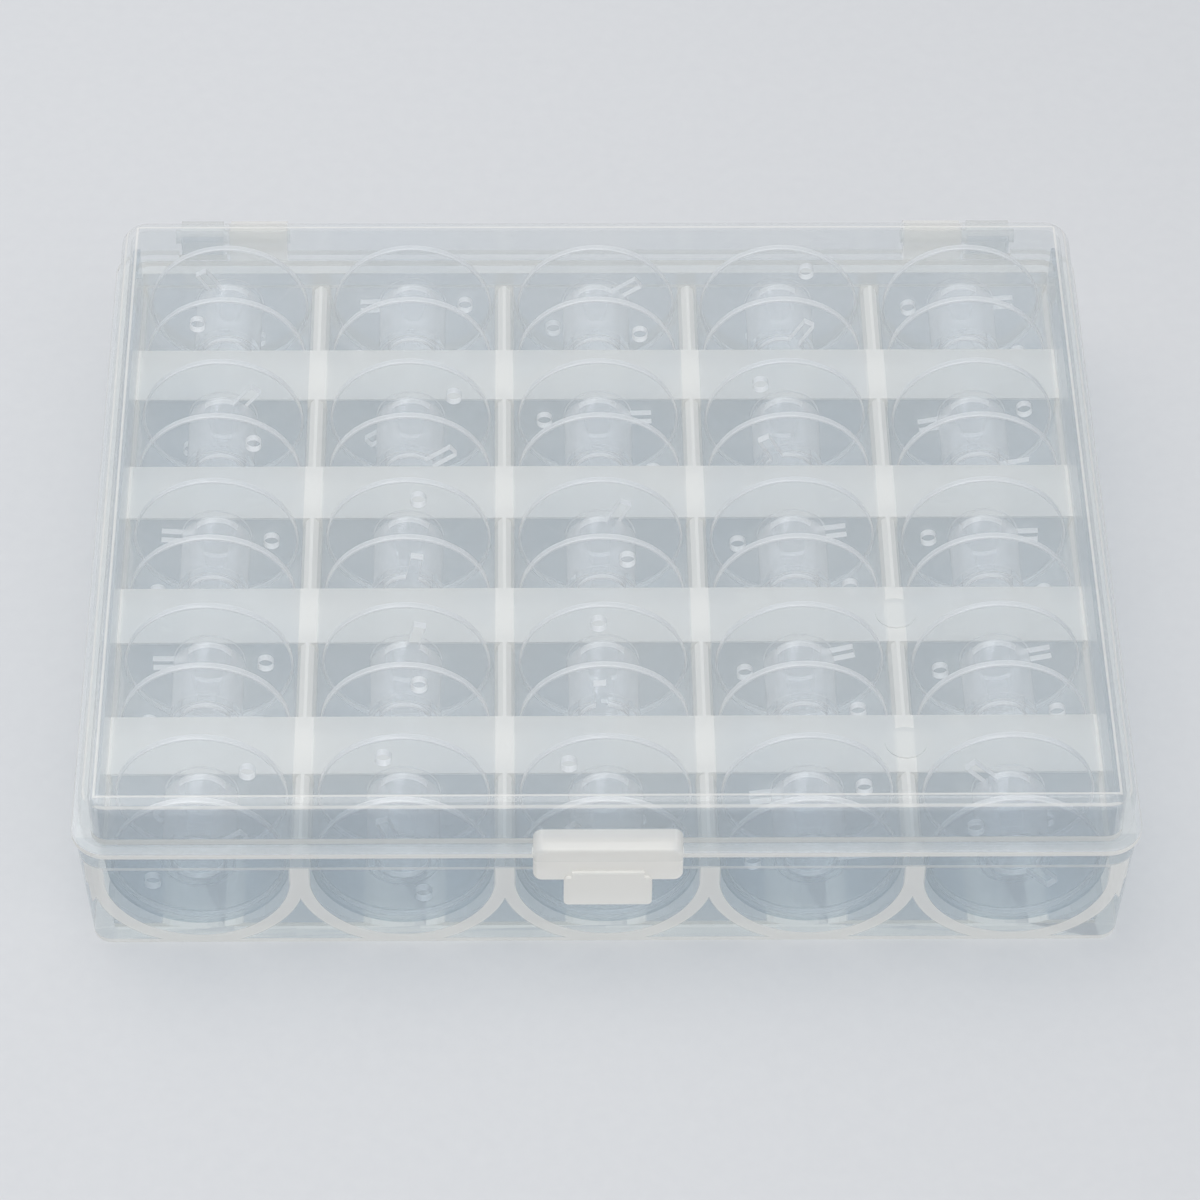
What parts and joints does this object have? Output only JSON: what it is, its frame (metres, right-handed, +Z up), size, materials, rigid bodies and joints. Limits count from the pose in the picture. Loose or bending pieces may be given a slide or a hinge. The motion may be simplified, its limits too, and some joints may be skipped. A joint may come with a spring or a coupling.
{
  "type": "bobbin storage box",
  "caption": "Flat translucent plastic box with a hinged snap lid, its tray divided into rows of half-round troughs that each hold a clear sewing bobbin standing on its rim.",
  "frame": {"origin": "centre of the whole box's bounding box in X and Y, at the tray's foot", "axes": "+X to the right as the latch is seen, +Y from the latch to the hinge, +Z up"},
  "size_m": [0.124, 0.1094, 0.0241],
  "materials": {
    "milky_plastic": "translucent milky polypropylene, smooth",
    "clear_plastic": "clear polystyrene, glossy"
  },
  "bodies": {
    "tray": {"base": "milky_plastic"},
    "lid": {"lid": "milky_plastic"},
    "bobbin_r1c1": {"bobbin_r1c1": "clear_plastic"},
    "bobbin_r1c2": {"bobbin_r1c2": "clear_plastic"},
    "bobbin_r1c3": {"bobbin_r1c3": "clear_plastic"},
    "bobbin_r1c4": {"bobbin_r1c4": "clear_plastic"},
    "bobbin_r1c5": {"bobbin_r1c5": "clear_plastic"},
    "bobbin_r2c1": {"bobbin_r2c1": "clear_plastic"},
    "bobbin_r2c2": {"bobbin_r2c2": "clear_plastic"},
    "bobbin_r2c3": {"bobbin_r2c3": "clear_plastic"},
    "bobbin_r2c4": {"bobbin_r2c4": "clear_plastic"},
    "bobbin_r2c5": {"bobbin_r2c5": "clear_plastic"},
    "bobbin_r3c1": {"bobbin_r3c1": "clear_plastic"},
    "bobbin_r3c2": {"bobbin_r3c2": "clear_plastic"},
    "bobbin_r3c3": {"bobbin_r3c3": "clear_plastic"},
    "bobbin_r3c4": {"bobbin_r3c4": "clear_plastic"},
    "bobbin_r3c5": {"bobbin_r3c5": "clear_plastic"},
    "bobbin_r4c1": {"bobbin_r4c1": "clear_plastic"},
    "bobbin_r4c2": {"bobbin_r4c2": "clear_plastic"},
    "bobbin_r4c3": {"bobbin_r4c3": "clear_plastic"},
    "bobbin_r4c4": {"bobbin_r4c4": "clear_plastic"},
    "bobbin_r4c5": {"bobbin_r4c5": "clear_plastic"},
    "bobbin_r5c1": {"bobbin_r5c1": "clear_plastic"},
    "bobbin_r5c2": {"bobbin_r5c2": "clear_plastic"},
    "bobbin_r5c3": {"bobbin_r5c3": "clear_plastic"},
    "bobbin_r5c4": {"bobbin_r5c4": "clear_plastic"},
    "bobbin_r5c5": {"bobbin_r5c5": "clear_plastic"}
  },
  "joints": [
    {"name": "lid_hinge", "type": "hinge", "parent": "tray", "child": "lid", "pos_m": [0, 0.05265, 0.0187], "axis": [-1, 0, 0], "range_deg": [0, 180]},
    {"name": "spin_r1c1", "type": "hinge", "parent": "tray", "child": "bobbin_r1c1", "pos_m": [-0.0476, 0.04195, 0.0118], "axis": [0, 1, 0], "continuous": true},
    {"name": "spin_r1c2", "type": "hinge", "parent": "tray", "child": "bobbin_r1c2", "pos_m": [-0.0238, 0.04195, 0.0118], "axis": [0, 1, 0], "continuous": true},
    {"name": "spin_r1c3", "type": "hinge", "parent": "tray", "child": "bobbin_r1c3", "pos_m": [0, 0.04195, 0.0118], "axis": [0, 1, 0], "continuous": true},
    {"name": "spin_r1c4", "type": "hinge", "parent": "tray", "child": "bobbin_r1c4", "pos_m": [0.0238, 0.04195, 0.0118], "axis": [0, 1, 0], "continuous": true},
    {"name": "spin_r1c5", "type": "hinge", "parent": "tray", "child": "bobbin_r1c5", "pos_m": [0.0476, 0.04195, 0.0118], "axis": [0, 1, 0], "continuous": true},
    {"name": "spin_r2c1", "type": "hinge", "parent": "tray", "child": "bobbin_r2c1", "pos_m": [-0.0476, 0.0206, 0.0118], "axis": [0, 1, 0], "continuous": true},
    {"name": "spin_r2c2", "type": "hinge", "parent": "tray", "child": "bobbin_r2c2", "pos_m": [-0.0238, 0.0206, 0.0118], "axis": [0, 1, 0], "continuous": true},
    {"name": "spin_r2c3", "type": "hinge", "parent": "tray", "child": "bobbin_r2c3", "pos_m": [0, 0.0206, 0.0118], "axis": [0, 1, 0], "continuous": true},
    {"name": "spin_r2c4", "type": "hinge", "parent": "tray", "child": "bobbin_r2c4", "pos_m": [0.0238, 0.0206, 0.0118], "axis": [0, 1, 0], "continuous": true},
    {"name": "spin_r2c5", "type": "hinge", "parent": "tray", "child": "bobbin_r2c5", "pos_m": [0.0476, 0.0206, 0.0118], "axis": [0, 1, 0], "continuous": true},
    {"name": "spin_r3c1", "type": "hinge", "parent": "tray", "child": "bobbin_r3c1", "pos_m": [-0.0476, -0.00075, 0.0118], "axis": [0, 1, 0], "continuous": true},
    {"name": "spin_r3c2", "type": "hinge", "parent": "tray", "child": "bobbin_r3c2", "pos_m": [-0.0238, -0.00075, 0.0118], "axis": [0, 1, 0], "continuous": true},
    {"name": "spin_r3c3", "type": "hinge", "parent": "tray", "child": "bobbin_r3c3", "pos_m": [0, -0.00075, 0.0118], "axis": [0, 1, 0], "continuous": true},
    {"name": "spin_r3c4", "type": "hinge", "parent": "tray", "child": "bobbin_r3c4", "pos_m": [0.0238, -0.00075, 0.0118], "axis": [0, 1, 0], "continuous": true},
    {"name": "spin_r3c5", "type": "hinge", "parent": "tray", "child": "bobbin_r3c5", "pos_m": [0.0476, -0.00075, 0.0118], "axis": [0, 1, 0], "continuous": true},
    {"name": "spin_r4c1", "type": "hinge", "parent": "tray", "child": "bobbin_r4c1", "pos_m": [-0.0476, -0.0221, 0.0118], "axis": [0, 1, 0], "continuous": true},
    {"name": "spin_r4c2", "type": "hinge", "parent": "tray", "child": "bobbin_r4c2", "pos_m": [-0.0238, -0.0221, 0.0118], "axis": [0, 1, 0], "continuous": true},
    {"name": "spin_r4c3", "type": "hinge", "parent": "tray", "child": "bobbin_r4c3", "pos_m": [0, -0.0221, 0.0118], "axis": [0, 1, 0], "continuous": true},
    {"name": "spin_r4c4", "type": "hinge", "parent": "tray", "child": "bobbin_r4c4", "pos_m": [0.0238, -0.0221, 0.0118], "axis": [0, 1, 0], "continuous": true},
    {"name": "spin_r4c5", "type": "hinge", "parent": "tray", "child": "bobbin_r4c5", "pos_m": [0.0476, -0.0221, 0.0118], "axis": [0, 1, 0], "continuous": true},
    {"name": "spin_r5c1", "type": "hinge", "parent": "tray", "child": "bobbin_r5c1", "pos_m": [-0.0476, -0.04345, 0.0118], "axis": [0, 1, 0], "continuous": true},
    {"name": "spin_r5c2", "type": "hinge", "parent": "tray", "child": "bobbin_r5c2", "pos_m": [-0.0238, -0.04345, 0.0118], "axis": [0, 1, 0], "continuous": true},
    {"name": "spin_r5c3", "type": "hinge", "parent": "tray", "child": "bobbin_r5c3", "pos_m": [0, -0.04345, 0.0118], "axis": [0, 1, 0], "continuous": true},
    {"name": "spin_r5c4", "type": "hinge", "parent": "tray", "child": "bobbin_r5c4", "pos_m": [0.0238, -0.04345, 0.0118], "axis": [0, 1, 0], "continuous": true},
    {"name": "spin_r5c5", "type": "hinge", "parent": "tray", "child": "bobbin_r5c5", "pos_m": [0.0476, -0.04345, 0.0118], "axis": [0, 1, 0], "continuous": true}
  ]
}
